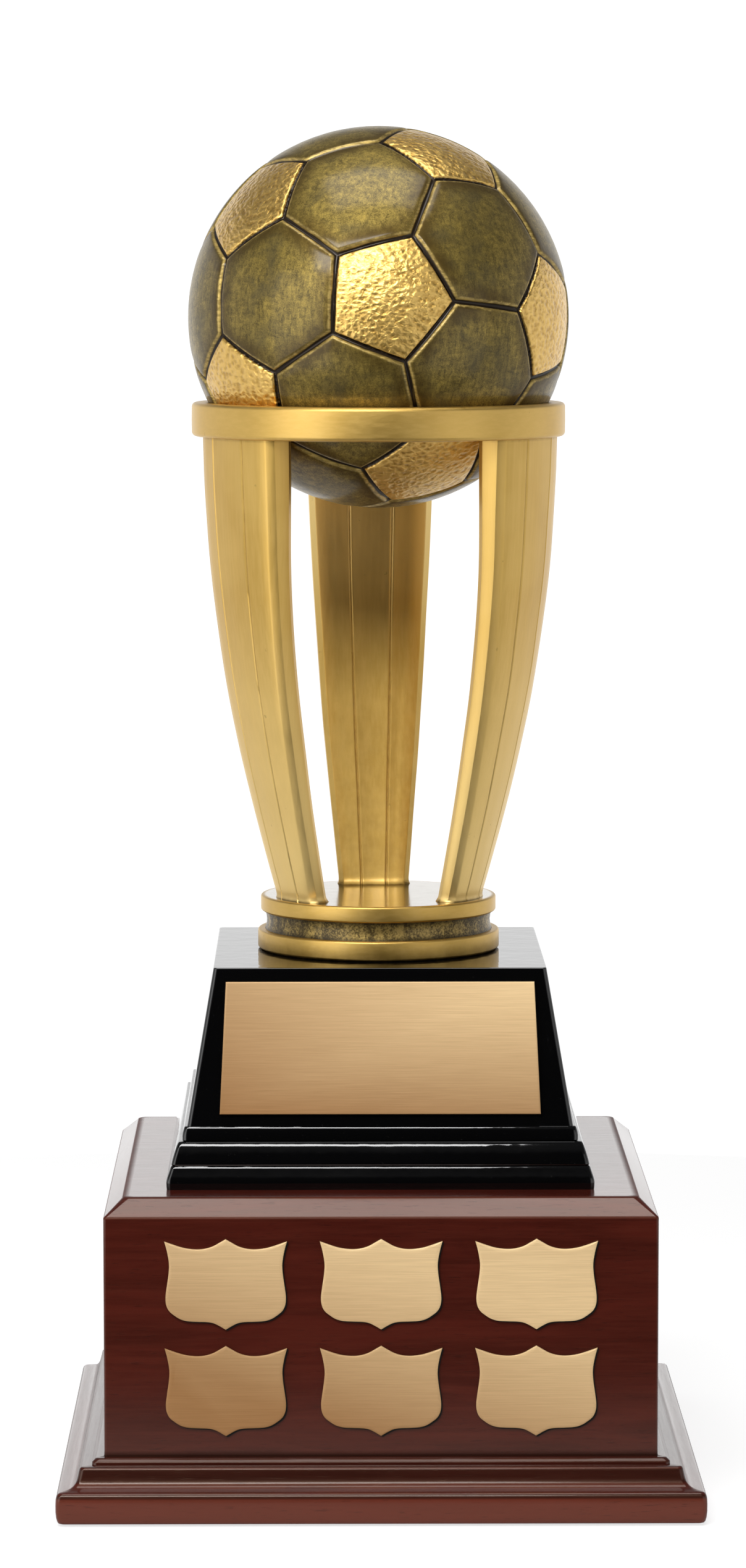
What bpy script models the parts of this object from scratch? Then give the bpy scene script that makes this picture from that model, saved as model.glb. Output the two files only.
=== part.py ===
"""Football tower perpetual trophy: a ball in a ring on three curved legs, on a stepped
black base and a square wooden plinth with six shields.

Metres, +Z up, the front (name plate and shields) faces -Y, the origin is on the floor
under the middle of the plinth. Sizes below are in millimetres and go through MM.
"""
import math
import bpy
import bmesh
from mathutils import Euler, Matrix, Vector

MM = 0.001
GAP = 0.3                    # clearance left between two pieces that touch

# ball
BALL_R = 61.2
BALL_Z = 372.5               # height of the ball's centre
BALL_WALL = 3.0
BALL_TURN = (11.7, -31.2, -32.9)   # degrees, how the panels are turned on the tower
PARTING_Z = 340.0            # joint between the two shells, behind the ring
SEAM_DEPTH = 0.9
SEAM_HALF = 1.1
LOCATOR_HALF = 4.0           # half height of the hoop inside the joint
LOCATOR_WALL = 2.4

# ring and legs
RING_R = 60.1
RING_BOTTOM, RING_TOP = 334.6, 345.4
RING_ROUND = 2.4
TOWER_TURN = 2.6             # degrees the tower is turned on its base
# height, outer radius, half width, inner radius along one leg; the top end clears the ball
LEG_STATIONS = (
    (334.3, 58.0, 20.7, 49.0), (331.8, 57.95, 20.7, 46.9), (322.0, 57.6, 20.7, 46.4),
    (311.0, 57.0, 20.4, 45.8),
    (294.0, 55.8, 19.6, 44.7), (275.0, 53.6, 18.5, 42.8), (255.5, 50.7, 17.3, 40.3),
    (236.0, 46.8, 15.9, 36.9), (217.0, 42.3, 14.2, 33.2), (198.0, 37.3, 12.5, 29.0),
    (186.3, 34.0, 11.4, 26.2),
)
LEG_GROOVE_OUT, LEG_GROOVE_IN = 0.43, 0.35     # groove positions as shares of half width
LEG_GROOVE_HALF, LEG_GROOVE_DEPTH = 1.1, 0.8
LEG_CHAMFER = 2.0

# foot of the tower
FOOT_UPPER = (38.1, 181.0, 186.0, 1.2)         # radius, bottom, top, edge rounding
FOOT_COLLAR = (36.7, 175.3, 180.7, 0.3)
FOOT_LOWER = (39.1, 168.8, 175.0, 1.2)
STUD_R, STUD_BOTTOM, STUD_TOP = 3.0, 149.5, 183.5

# black base
BODY_TOP_HALF, BODY_BOTTOM_HALF = 52.6, 60.9
BODY_BOTTOM, BODY_TOP = 119.4, 168.5
BODY_WALL = 8.0
STEP_1 = (62.4, 114.6, 119.1)                  # half width, bottom, top
STEP_2 = (65.8, 107.2, 114.3)
STEP_3 = (67.4, 99.9, 106.9)
PLATE_TOP_HALF, PLATE_BOTTOM_HALF = 48.7, 50.6
PLATE_BOTTOM, PLATE_TOP = 123.0, 164.2
PLATE_THICK, PLATE_BEVEL = 1.4, 0.7

# plinth
PLINTH_HALF = 86.5
PLINTH_WALL = 12.0
PANEL_BOTTOM, PANEL_TOP = 1.8, 93.3
LID_BOTTOM, LID_TOP, LID_HALF, LID_CHAMFER = 93.6, 99.6, 86.2, 5.2
FLOOR_BOARD = (1.8, 7.8)
BLOCK_SIZE = 14.0
PAD_R, PAD_THICK, PAD_AT = 8.0, 1.5, 50.0
# distance from the axis and height round the skirt moulding
SKIRT = (
    (86.8, 0.8), (100.4, 0.8), (101.0, 2.6), (101.2, 6.0), (101.0, 8.6), (100.2, 9.6),
    (98.4, 10.0), (96.4, 10.7), (95.5, 11.7), (95.3, 12.8), (94.0, 13.6), (93.6, 14.7),
    (93.8, 15.8), (93.0, 16.5), (90.6, 16.8), (89.5, 17.2), (89.2, 17.9), (88.5, 18.5),
    (86.8, 18.6),
)

# shields: one half of the outline, from the top middle round to the bottom middle
SHIELD_OUTLINE = (
    (0.0, 14.25), (1.9, 13.15), (4.0, 12.0), (6.3, 11.3), (8.7, 11.05), (11.4, 11.25),
    (14.2, 11.85), (19.1, 13.55), (18.3, 10.6), (17.65, 6.7), (17.8, 3.2), (18.4, -1.0),
    (18.75, -4.2), (18.5, -6.6), (17.6, -8.4), (16.1, -9.7), (14.2, -10.9),
    (12.0, -11.55), (9.0, -11.75), (6.0, -11.85), (4.0, -12.15), (2.3, -12.9),
    (0.0, -14.25),
)
SHIELD_THICK, SHIELD_BEVEL = 1.3, 0.8
SHIELD_COLUMNS = (-48.4, 0.0, 48.4)
SHIELD_ROWS = (73.8, 40.1)

# screws
LID_SCREW_AT, LID_SCREW_R, LID_SCREW_TOP = 40.0, 1.75, 111.0
FLOOR_SCREW_AT, FLOOR_SCREW_R, FLOOR_SCREW_TOP = 67.2, 1.5, 20.0
HEAD_R, HEAD_H = 3.4, 2.2

COLOURS = {                  # colour, metallic, roughness
    "satin_gold": ((0.62, 0.42, 0.13, 1), 1.0, 0.38),
    "antique_bronze": ((0.16, 0.11, 0.04, 1), 0.9, 0.35),
    "dark_patina": ((0.07, 0.05, 0.03, 1), 0.8, 0.5),
    "steel": ((0.55, 0.55, 0.56, 1), 1.0, 0.35),
    "black_lacquer": ((0.008, 0.008, 0.009, 1), 0.0, 0.08),
    "brushed_brass": ((0.72, 0.52, 0.26, 1), 1.0, 0.35),
    "rosewood": ((0.09, 0.016, 0.012, 1), 0.0, 0.25),
    "bare_wood": ((0.42, 0.27, 0.14, 1), 0.0, 0.7),
    "felt": ((0.02, 0.05, 0.03, 1), 0.0, 0.95),
}


def clear_scene():
    for obj in list(bpy.data.objects):
        bpy.data.objects.remove(obj, do_unlink=True)


def material(name):
    mat = bpy.data.materials.get(name)
    if mat:
        return mat
    colour, metallic, rough = COLOURS[name]
    mat = bpy.data.materials.new(name)
    mat.use_nodes = True
    shader = mat.node_tree.nodes["Principled BSDF"]
    shader.inputs["Base Color"].default_value = colour
    shader.inputs["Metallic"].default_value = metallic
    shader.inputs["Roughness"].default_value = rough
    mat.diffuse_color = colour
    return mat


def solid(name, points, faces, mat, smooth_angle=None):
    """One closed body from points in millimetres, normals turned outward."""
    mesh = bpy.data.meshes.new(name)
    bm = bmesh.new()
    verts = [bm.verts.new(Vector(p) * MM) for p in points]
    for face in faces:
        bm.faces.new([verts[i] for i in face])
    bmesh.ops.remove_doubles(bm, verts=bm.verts, dist=1e-6)
    bmesh.ops.recalc_face_normals(bm, faces=bm.faces)
    bm.to_mesh(mesh)
    bm.free()
    obj = bpy.data.objects.new(name, mesh)
    bpy.context.scene.collection.objects.link(obj)
    mesh.materials.append(material(mat))
    if smooth_angle:
        mesh.shade_smooth()
        mesh.set_sharp_from_angle(angle=math.radians(smooth_angle))
    return obj


def set_origin(obj, point):
    """Move an object's origin to a point in millimetres without moving its shape."""
    offset = Vector(point) * MM
    obj.data.transform(Matrix.Translation(-offset))
    obj.location = offset
    return obj


def twin(obj, name, location=None, turn=0.0):
    """A second object on the same mesh, moved and turned about the vertical."""
    copy = bpy.data.objects.new(name, obj.data)
    bpy.context.scene.collection.objects.link(copy)
    copy.location = obj.location if location is None else Vector(location) * MM
    copy.rotation_euler.z = math.radians(turn)
    copy.parent = obj.parent
    return copy


def group(name, turn=0.0):
    """Empty that carries one assembly."""
    empty = bpy.data.objects.new(name, None)
    bpy.context.scene.collection.objects.link(empty)
    empty.rotation_euler.z = math.radians(turn)
    return empty


def loft(rings, close=False):
    """Faces of a skin through rings with equal point counts; open ends are capped."""
    count = len(rings[0])
    points = [p for ring in rings for p in ring]
    faces = []
    spans = len(rings) if close else len(rings) - 1
    for r in range(spans):
        a, b = r * count, ((r + 1) % len(rings)) * count
        for i in range(count):
            j = (i + 1) % count
            faces.append((a + i, a + j, b + j, b + i))
    if not close:
        faces.append(tuple(range(count)))
        faces.append(tuple(range((len(rings) - 1) * count, len(rings) * count)))
    return points, faces


def circle(radius, z, segments, at=(0.0, 0.0)):
    step = 2 * math.pi / segments
    return [(at[0] + radius * math.cos(step * i), at[1] + radius * math.sin(step * i), z)
            for i in range(segments)]


def square(half, z):
    return [(-half, -half, z), (half, -half, z), (half, half, z), (-half, half, z)]


def turned(name, profile, mat, segments=64, at=(0.0, 0.0), hollow=False, smooth_angle=35):
    """A round piece from (radius, height) points; hollow pieces close on themselves."""
    points, faces = loft([circle(r, z, segments, at) for r, z in profile], close=hollow)
    return solid(name, points, faces, mat, smooth_angle)


def rounded_disc(name, size, mat, bore, bore_top=None):
    radius, bottom, top, edge = size
    profile = [(radius - edge, bottom), (radius - 0.3 * edge, bottom + 0.3 * edge),
               (radius, bottom + edge), (radius, top - edge),
               (radius - 0.3 * edge, top - 0.3 * edge), (radius - edge, top)]
    disc = turned(name, profile, mat, 60, smooth_angle=50)
    cut(disc, bore_cutter(bore, bottom - 1.0, (top + 1.0) if bore_top is None else bore_top))
    return disc


def bore_cutter(radius, bottom, top, at=(0.0, 0.0), segments=20):
    points, faces = loft([circle(radius, bottom, segments, at), circle(radius, top, segments, at)])
    return solid("cutter", points, faces, "steel")


def cut(obj, *cutters, operation="DIFFERENCE"):
    """Apply exact booleans and throw the cutters away."""
    for tool in cutters:
        tool.hide_render = True
        tool.display_type = "WIRE"
        mod = obj.modifiers.new("cut", "BOOLEAN")
        mod.object, mod.operation, mod.solver = tool, operation, "EXACT"
        depsgraph = bpy.context.evaluated_depsgraph_get()
        mesh = bpy.data.meshes.new_from_object(obj.evaluated_get(depsgraph))
        obj.modifiers.clear()
        old = obj.data
        obj.data = mesh
        bpy.data.meshes.remove(old)
        mesh.name = obj.name
        bpy.data.objects.remove(tool, do_unlink=True)
    bm = bmesh.new()
    bm.from_mesh(obj.data)
    bmesh.ops.remove_doubles(bm, verts=bm.verts, dist=2e-6)
    bmesh.ops.dissolve_degenerate(bm, edges=bm.edges, dist=2e-6)
    bm.to_mesh(obj.data)
    bm.free()


# ---------------------------------------------------------------- ball

def ball_panels():
    """Corner directions of the 12 five-sided and 20 six-sided panels."""
    phi = (1 + math.sqrt(5)) / 2
    tips = []
    for a in (-1, 1):
        for b in (-phi, phi):
            tips += [Vector((0, a, b)), Vector((b, 0, a)), Vector((a, b, 0))]
    near = [[j for j in range(12) if j != i and (tips[i] - tips[j]).length < 2.1]
            for i in range(12)]

    def third(i, j):
        return (2 * tips[i] + tips[j]).normalized()

    panels = []
    for i in range(12):
        axis = tips[i].normalized()
        side = axis.orthogonal().normalized()
        other = axis.cross(side)
        around = sorted(near[i], key=lambda j: math.atan2(tips[j].dot(other), tips[j].dot(side)))
        panels.append([third(i, j) for j in around])
    for i in range(12):
        for j in near[i]:
            for k in near[i]:
                if i < j < k and k in near[j]:
                    panels.append([third(i, j), third(j, i), third(j, k),
                                   third(k, j), third(k, i), third(i, k)])
    return panels


def ball_skin():
    """Outer skin of the ball: domed panels between V-shaped seams."""
    turn = Euler([math.radians(a) for a in BALL_TURN], "XYZ").to_matrix()
    centre = Vector((0, 0, BALL_Z))
    points, faces = [], []
    for corners in ball_panels():
        middle = sum(corners, Vector()).normalized()
        edge = []
        for i, a in enumerate(corners):
            b = corners[(i + 1) % len(corners)]
            edge += [a.slerp(b, s / 3) for s in range(3)]
        lip = 1.25 * SEAM_HALF / (BALL_R * (middle - corners[0]).length)
        start = len(points)
        for share, radius in ((0, BALL_R - SEAM_DEPTH), (lip, BALL_R), (0.52, BALL_R)):
            points += [centre + radius * (turn @ d.lerp(middle, share).normalized())
                       for d in edge]
        points.append(centre + BALL_R * (turn @ middle))
        count, rings = len(edge), 3
        for r in range(rings - 1):
            for i in range(count):
                j = (i + 1) % count
                a, b = start + r * count, start + (r + 1) * count
                faces.append((a + i, a + j, b + j, b + i))
        last = start + (rings - 1) * count
        for i in range(count):
            faces.append((last + i, last + (i + 1) % count, start + rings * count))
    return points, faces


def sphere(radius, z, segments=30, rows=16):
    rings = []
    for r in range(1, rows):
        angle = math.pi * r / rows
        rings.append(circle(radius * math.sin(angle), z - radius * math.cos(angle), segments))
    return loft(rings)


def box(x0, x1, y0, y1, z0, z1):
    points = [(x, y, z) for z in (z0, z1) for x, y in ((x0, y0), (x1, y0), (x1, y1), (x0, y1))]
    faces = [(0, 1, 2, 3), (4, 5, 6, 7), (0, 1, 5, 4), (1, 2, 6, 5), (2, 3, 7, 6), (3, 0, 4, 7)]
    return points, faces


def build_ball(tower):
    """Two bonded shells with a hoop inside their joint."""
    wide = BALL_R + 5
    halves = (("ball_shell_upper", PARTING_Z + GAP / 2, BALL_Z + wide),
              ("ball_shell_lower", BALL_Z - wide, PARTING_Z - GAP / 2))
    for name, low, high in halves:
        shell = solid(name, *ball_skin(), "antique_bronze", 18)
        cut(shell, solid("cutter", *box(-wide, wide, -wide, wide, low, high), "steel"),
            operation="INTERSECT")
        cut(shell, solid("cutter", *sphere(BALL_R - BALL_WALL, BALL_Z), "steel"))
        shell.data.shade_smooth()
        shell.data.set_sharp_from_angle(angle=math.radians(18))
        set_origin(shell, (0, 0, BALL_Z)).parent = tower
    seat = BALL_R - BALL_WALL - 2 * GAP
    profile = []
    for z in (PARTING_Z - LOCATOR_HALF, PARTING_Z, PARTING_Z + LOCATOR_HALF):
        profile.append((math.sqrt(seat ** 2 - (BALL_Z - z) ** 2), z))
    low_r = profile[0][0] - LOCATOR_WALL
    profile += [(low_r, PARTING_Z + LOCATOR_HALF), (low_r, PARTING_Z - LOCATOR_HALF)]
    hoop = turned("ball_locating_hoop", profile, "dark_patina", 36, hollow=True)
    set_origin(hoop, (0, 0, PARTING_Z)).parent = tower


# ---------------------------------------------------------------- ring, legs, foot

def build_ring(tower):
    """Flat hoop with a spherical seat that the ball rests in."""
    seat = BALL_R + GAP
    profile = []
    for share in (0.0, 0.33, 0.67, 1.0):
        z = RING_BOTTOM + share * (RING_TOP - RING_BOTTOM)
        profile.append((math.sqrt(seat ** 2 - (BALL_Z - z) ** 2), z))
    for angle in (90, 60, 30, 0):
        a = math.radians(angle)
        profile.append((RING_R - RING_ROUND * (1 - math.cos(a)),
                        RING_TOP - RING_ROUND * (1 - math.sin(a))))
    for angle in (0, -30, -60, -90):
        a = math.radians(angle)
        profile.append((RING_R - RING_ROUND * (1 - math.cos(a)),
                        RING_BOTTOM + RING_ROUND * (1 + math.sin(a))))
    ring = turned("support_ring", profile, "satin_gold", 72, hollow=True, smooth_angle=32)
    set_origin(ring, (0, 0, RING_BOTTOM)).parent = tower


def leg_section(radius, half, inner):
    """Closed outline of a leg as (sideways, outward) points."""
    groove = LEG_GROOVE_HALF * half / 20.0
    depth = LEG_GROOVE_DEPTH * (0.5 + 0.5 * half / 20.0)
    round_off = 0.8
    out_at, in_at = LEG_GROOVE_OUT * half, LEG_GROOVE_IN * half
    outer = [(-half, -round_off), (-half + 0.5 * round_off, -0.1 * round_off)]
    outer += [(-0.72 * half, 0.0), (-out_at - groove, 0.0), (-out_at, -depth),
              (-out_at + groove, 0.0), (-0.16 * half, 0.0)]
    outer += [(-t, drop) for t, drop in reversed(outer)]
    line = [(t, math.sqrt(radius ** 2 - t ** 2) + drop) for t, drop in outer]
    chamfer = LEG_CHAMFER * (0.5 + 0.5 * half / 20.0)
    back = [(half, inner + 1.3 * chamfer), (half - chamfer, inner),
            (in_at + groove, inner), (in_at, inner + depth), (in_at - groove, inner)]
    back += [(-t, rho) for t, rho in reversed(back)]
    return line + back


def build_legs(tower):
    """Three identical legs; the rear one stands opposite the name plate."""
    rings = [[(rho, t, z) for t, rho in leg_section(r, w, i)] for z, r, w, i in LEG_STATIONS]
    rear = solid("leg_rear", *loft(rings), "satin_gold", 30)
    set_origin(rear, (0, 0, LEG_STATIONS[-1][0])).parent = tower
    rear.rotation_euler.z = math.radians(90)
    twin(rear, "leg_left", turn=210)
    twin(rear, "leg_right", turn=330)


def build_foot(tower):
    """Three stacked discs held down by a stud, a washer and a nut inside the black base."""
    bore = STUD_R + GAP
    rounded_disc("foot_upper_disc", FOOT_UPPER, "satin_gold", bore, STUD_TOP + GAP)
    rounded_disc("foot_collar", FOOT_COLLAR, "dark_patina", bore)
    rounded_disc("foot_lower_disc", FOOT_LOWER, "satin_gold", bore)
    turned("tie_stud", [(STUD_R - 0.5, STUD_BOTTOM), (STUD_R, STUD_BOTTOM + 0.5),
                        (STUD_R, STUD_TOP - 0.5), (STUD_R - 0.5, STUD_TOP)], "steel", 20)
    ceiling = BODY_TOP - BODY_WALL
    washer_low, washer_high = ceiling - GAP - 1.6, ceiling - GAP
    turned("tie_washer", [(bore, washer_low), (9.0, washer_low), (9.0, washer_high),
                          (bore, washer_high)], "steel", 24, hollow=True)
    nut_high = washer_low - GAP
    points, faces = loft([circle(5.8, nut_high - 5.0, 6), circle(5.8, nut_high, 6)])
    nut = solid("tie_nut", points, faces, "steel")
    cut(nut, bore_cutter(bore, nut_high - 6.0, nut_high + 1.0))
    lows = {"foot_upper_disc": FOOT_UPPER[1], "foot_collar": FOOT_COLLAR[1],
            "foot_lower_disc": FOOT_LOWER[1], "tie_stud": STUD_BOTTOM,
            "tie_washer": washer_low, "tie_nut": nut_high - 5.0}
    for name, low in lows.items():
        set_origin(bpy.data.objects[name], (0, 0, low)).parent = tower


# ---------------------------------------------------------------- black base

def stacked_square(name, profile, mat, smooth_angle=None):
    points, faces = loft([square(half, z) for half, z in profile])
    return solid(name, points, faces, mat, smooth_angle)


def quarter(half, low, high, reach, steps=4):
    """Rounded upper edge of a square board as (half width, height) points."""
    drop = high - low
    points = []
    for s in range(steps + 1):
        a = math.pi / 2 * s / steps
        points.append((half - reach * (1 - math.cos(a)), low + drop * math.sin(a)))
    return points


def corner_points(at):
    return [(sx * at, sy * at) for sx, sy in ((-1, -1), (1, -1), (1, 1), (-1, 1))]


def build_black_base(base):
    """Hollow tapered body on three stacked moulded boards."""
    bore = STUD_R + GAP
    slope = (BODY_BOTTOM_HALF - BODY_TOP_HALF) / (BODY_TOP - BODY_BOTTOM)
    ceiling = BODY_TOP - BODY_WALL
    ceiling_half = BODY_TOP_HALF + slope * BODY_WALL - BODY_WALL
    body = stacked_square("base_body", [
        (ceiling_half, ceiling), (BODY_BOTTOM_HALF - BODY_WALL, BODY_BOTTOM),
        (BODY_BOTTOM_HALF, BODY_BOTTOM), (BODY_TOP_HALF + 0.1, BODY_TOP - 0.5),
        (BODY_TOP_HALF - 0.4, BODY_TOP)], "black_lacquer")
    cut(body, bore_cutter(bore, ceiling - 1.0, BODY_TOP + 1.0))

    half, low, high = STEP_1
    step_1 = stacked_square("base_step_1", [(half, low)] + quarter(half, high - 1.6, high, 1.2),
                            "black_lacquer", 40)
    half, low, high = STEP_2
    step_2 = stacked_square("base_step_2", [(half, low)] + quarter(half, low + 2.4, high, 2.6),
                            "black_lacquer", 40)
    half, low, high = STEP_3
    nose = [(half - 1.2, low), (half - 0.3, low + 1.2), (half, low + 2.6), (half, high - 3.0)]
    step_3 = stacked_square("base_step_3", nose + quarter(half, high - 2.2, high, 1.4)[1:],
                            "black_lacquer", 40)
    hole = LID_SCREW_R + GAP
    for at in corner_points(LID_SCREW_AT):
        cut(step_2, bore_cutter(hole, low - 1.0, LID_SCREW_TOP + GAP, at, 12))
        cut(step_3, bore_cutter(hole, low - 1.0, high + 1.0, at, 12))
    for board, bottom in ((body, BODY_BOTTOM), (step_1, STEP_1[1]), (step_2, STEP_2[1]),
                          (step_3, STEP_3[1])):
        set_origin(board, (0, 0, bottom)).parent = base


def build_name_plate(base):
    """Thin brass plate, narrower at the top, lying on the sloping front."""
    slope = (BODY_BOTTOM_HALF - BODY_TOP_HALF) / (BODY_TOP - BODY_BOTTOM)
    normal = Vector((0, -1, slope)).normalized()

    def outline(inset, lift):
        ring = []
        for half, z in ((PLATE_BOTTOM_HALF, PLATE_BOTTOM), (PLATE_TOP_HALF, PLATE_TOP)):
            z += inset if z == PLATE_BOTTOM else -inset
            y = -(BODY_TOP_HALF + 0.15 + slope * (BODY_TOP - z))
            ends = [Vector((x, y, z)) + normal * lift for x in (inset - half, half - inset)]
            ring += ends if not ring else ends[::-1]
        return ring

    rings = [outline(0, GAP), outline(0, GAP + PLATE_THICK - PLATE_BEVEL),
             outline(PLATE_BEVEL, GAP + PLATE_THICK)]
    plate = solid("name_plate", *loft(rings), "brushed_brass")
    foot = -(BODY_TOP_HALF + 0.15 + slope * (BODY_TOP - PLATE_BOTTOM))
    set_origin(plate, (0, foot, PLATE_BOTTOM)).parent = base


# ---------------------------------------------------------------- plinth

def mitred_sides(stem, profile, mat, plinth, smooth_angle=None):
    """Four equal mouldings or panels round a square, their ends cut at 45 degrees."""
    rings = [[(end * (r - GAP / 2), -r, z) for r, z in profile] for end in (-1, 1)]
    front = solid(stem + "_front", *loft(rings), mat, smooth_angle)
    set_origin(front, (0, 0, min(z for r, z in profile))).parent = plinth
    for number, side in enumerate(("right", "back", "left"), 1):
        twin(front, "%s_%s" % (stem, side), turn=90 * number)


def build_plinth(plinth):
    """Hollow box of mitred panels with a chamfered lid, a floor board and a skirt."""
    inside = PLINTH_HALF - PLINTH_WALL
    panel = [(inside, PANEL_BOTTOM), (PLINTH_HALF, PANEL_BOTTOM),
             (PLINTH_HALF, PANEL_TOP), (inside, PANEL_TOP)]
    mitred_sides("plinth_panel", panel, "rosewood", plinth)
    mitred_sides("skirt", SKIRT, "rosewood", plinth, 50)

    lid = stacked_square("plinth_lid", [
        (LID_HALF, LID_BOTTOM), (LID_HALF, LID_TOP - LID_CHAMFER),
        (LID_HALF - LID_CHAMFER, LID_TOP)], "rosewood")
    for at in corner_points(LID_SCREW_AT):
        cut(lid, bore_cutter(LID_SCREW_R + GAP, LID_BOTTOM - 1, LID_TOP + 1, at, 12))
    set_origin(lid, (0, 0, LID_BOTTOM)).parent = plinth

    inner = inside - GAP
    low, high = FLOOR_BOARD
    board = stacked_square("plinth_floor_board", [(inner, low), (inner, high)], "bare_wood")
    for at in corner_points(FLOOR_SCREW_AT):
        cut(board, bore_cutter(FLOOR_SCREW_R + GAP, low - 1, high + 1, at, 12))
        cut(board, bore_cutter(HEAD_R + GAP, low - 1, low + HEAD_H + 2 * GAP, at, 12))
    set_origin(board, (0, 0, low)).parent = plinth

    block = solid("corner_block_back_right",
                  *box(inner - BLOCK_SIZE, inner, inner - BLOCK_SIZE, inner, high + GAP,
                       PANEL_TOP), "bare_wood")
    cut(block, bore_cutter(FLOOR_SCREW_R + GAP, high - 1, FLOOR_SCREW_TOP + GAP,
                           (FLOOR_SCREW_AT, FLOOR_SCREW_AT), 12))
    set_origin(block, (0, 0, high + GAP)).parent = plinth
    for number, corner in enumerate(("back_left", "front_left", "front_right"), 1):
        twin(block, "corner_block_" + corner, turn=90 * number)


def at_corners(obj, stem, distance):
    """The piece stands at the front left corner; its twins stand at the other three."""
    z = obj.location.z / MM
    for corner, (x, y) in zip(("front_right", "back_right", "back_left"),
                              corner_points(distance)[1:]):
        twin(obj, "%s_%s" % (stem, corner), (x, y, z))


def build_fixings(plinth):
    """Screws in the lid and the floor board, and the pads the plinth stands on."""
    pieces = (
        ("lid_screw", LID_SCREW_AT,
         screw_profile(LID_BOTTOM - GAP - HEAD_H, LID_SCREW_R, LID_SCREW_TOP), "steel", 12),
        ("floor_screw", FLOOR_SCREW_AT,
         screw_profile(FLOOR_BOARD[0] + GAP, FLOOR_SCREW_R, FLOOR_SCREW_TOP), "steel", 12),
        ("foot_pad", PAD_AT, [(PAD_R, 0.0), (PAD_R, PAD_THICK)], "felt", 24),
    )
    for stem, distance, profile, mat, segments in pieces:
        first = turned(stem + "_front_left", profile, mat, segments)
        set_origin(first, (0, 0, profile[0][1])).parent = plinth
        first.location.x = first.location.y = -distance * MM
        at_corners(first, stem, distance)


def screw_profile(bottom, shank, top):
    """Headed wood screw standing point up, as (radius, height) points."""
    under_head = bottom + HEAD_H
    return [(0.75 * HEAD_R, bottom), (HEAD_R, bottom + 0.7), (HEAD_R, under_head),
            (shank, under_head), (shank, top - 2.0), (0.3 * shank, top)]


# ---------------------------------------------------------------- shields

def shield_ring(inset):
    """Closed shield outline drawn in by a set distance."""
    right = list(SHIELD_OUTLINE)
    line = [Vector(p) for p in right + [(-x, z) for x, z in reversed(right[1:-1])]]
    count, ring = len(line), []
    for i, here in enumerate(line):
        before = (here - line[i - 1]).normalized()
        after = (line[(i + 1) % count] - here).normalized()
        n1, n2 = Vector((before.y, -before.x)), Vector((after.y, -after.x))
        bisector = (n1 + n2).normalized()
        reach = inset / max(bisector.dot(n1), 0.45)
        ring.append(here + bisector * reach)
    return ring


def build_shields(plinth):
    """Two rows of three brass shields on the front of the plinth."""
    layers = ((0.0, 0.0), (0.0, SHIELD_BEVEL - SHIELD_THICK), (SHIELD_BEVEL, -SHIELD_THICK))
    rings = [[(p.x, y, p.y) for p in shield_ring(inset)] for inset, y in layers]
    first = None
    for row, height in zip(("upper", "lower"), SHIELD_ROWS):
        for column, across in zip(("left", "middle", "right"), SHIELD_COLUMNS):
            name, place = "shield_%s_%s" % (row, column), (across, -PLINTH_HALF - GAP, height)
            if first is None:
                first = solid(name, *loft(rings), "brushed_brass")
                first.parent, first.location = plinth, Vector(place) * MM
            else:
                twin(first, name, place)


def build():
    clear_scene()
    tower, base, plinth = group("tower", TOWER_TURN), group("base"), group("plinth")
    base.parent, tower.parent = plinth, base
    build_ball(tower)
    build_ring(tower)
    build_legs(tower)
    build_foot(tower)
    build_black_base(base)
    build_name_plate(base)
    build_plinth(plinth)
    build_fixings(plinth)
    build_shields(plinth)


build()
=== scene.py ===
"""Looks of the football tower trophy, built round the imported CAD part."""
import math

import bpy
import bmesh
from mathutils import Euler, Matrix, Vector, noise


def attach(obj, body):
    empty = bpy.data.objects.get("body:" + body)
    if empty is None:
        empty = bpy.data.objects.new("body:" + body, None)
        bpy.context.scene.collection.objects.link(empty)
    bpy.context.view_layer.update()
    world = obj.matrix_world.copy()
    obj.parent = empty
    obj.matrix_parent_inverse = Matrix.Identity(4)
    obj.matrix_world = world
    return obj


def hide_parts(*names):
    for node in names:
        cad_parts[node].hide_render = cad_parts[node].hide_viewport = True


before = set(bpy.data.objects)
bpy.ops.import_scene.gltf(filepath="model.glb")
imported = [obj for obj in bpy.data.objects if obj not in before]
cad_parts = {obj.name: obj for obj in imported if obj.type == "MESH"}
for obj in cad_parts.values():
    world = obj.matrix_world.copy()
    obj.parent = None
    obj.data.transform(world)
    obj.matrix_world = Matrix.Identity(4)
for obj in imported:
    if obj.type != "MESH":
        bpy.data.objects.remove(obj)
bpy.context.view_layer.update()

MM = 0.001
BODY = "root"

# ---------------------------------------------------------------- sizes, in millimetres

BALL_R, BALL_Z = 61.2, 372.5
TOWER_TURN = 2.6               # degrees the tower stands turned on its base
BALL_TURN = (11.7, -31.2, -32.9 + TOWER_TURN)
LIP_BRONZE = (                 # six-sided panel: distance from the seam, height over BALL_R
    (0.0, -1.25), (0.35, -1.20), (0.65, -0.98), (0.90, -0.62), (1.15, -0.32), (1.50, -0.14),
    (2.0, -0.06), (2.6, -0.02), (3.4, 0.0), (4.4, 0.0), (5.8, 0.0), (8.0, 0.0), (11.0, 0.0),
    (14.5, 0.0), (18.0, 0.0),
)
LIP_GOLD = (                   # five-sided panel, the same
    (0.0, -1.25), (0.35, -1.20), (0.62, -0.98), (0.82, -0.62), (1.00, -0.38), (1.25, -0.28),
    (1.7, -0.24), (2.4, -0.22), (3.4, -0.20), (4.6, -0.18), (6.2, -0.16), (8.4, -0.14),
    (10.8, -0.12), (13.0, -0.11), (15.0, -0.11),
)
LIP_SWAY = 0.12                # how unevenly the lips run
PANEL_SHARE = 0.93             # how far towards a panel's middle its last ring stands
RING_R, RING_BOTTOM, RING_TOP, RING_ROUND = 60.1, 334.6, 345.4, 1.4
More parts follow.
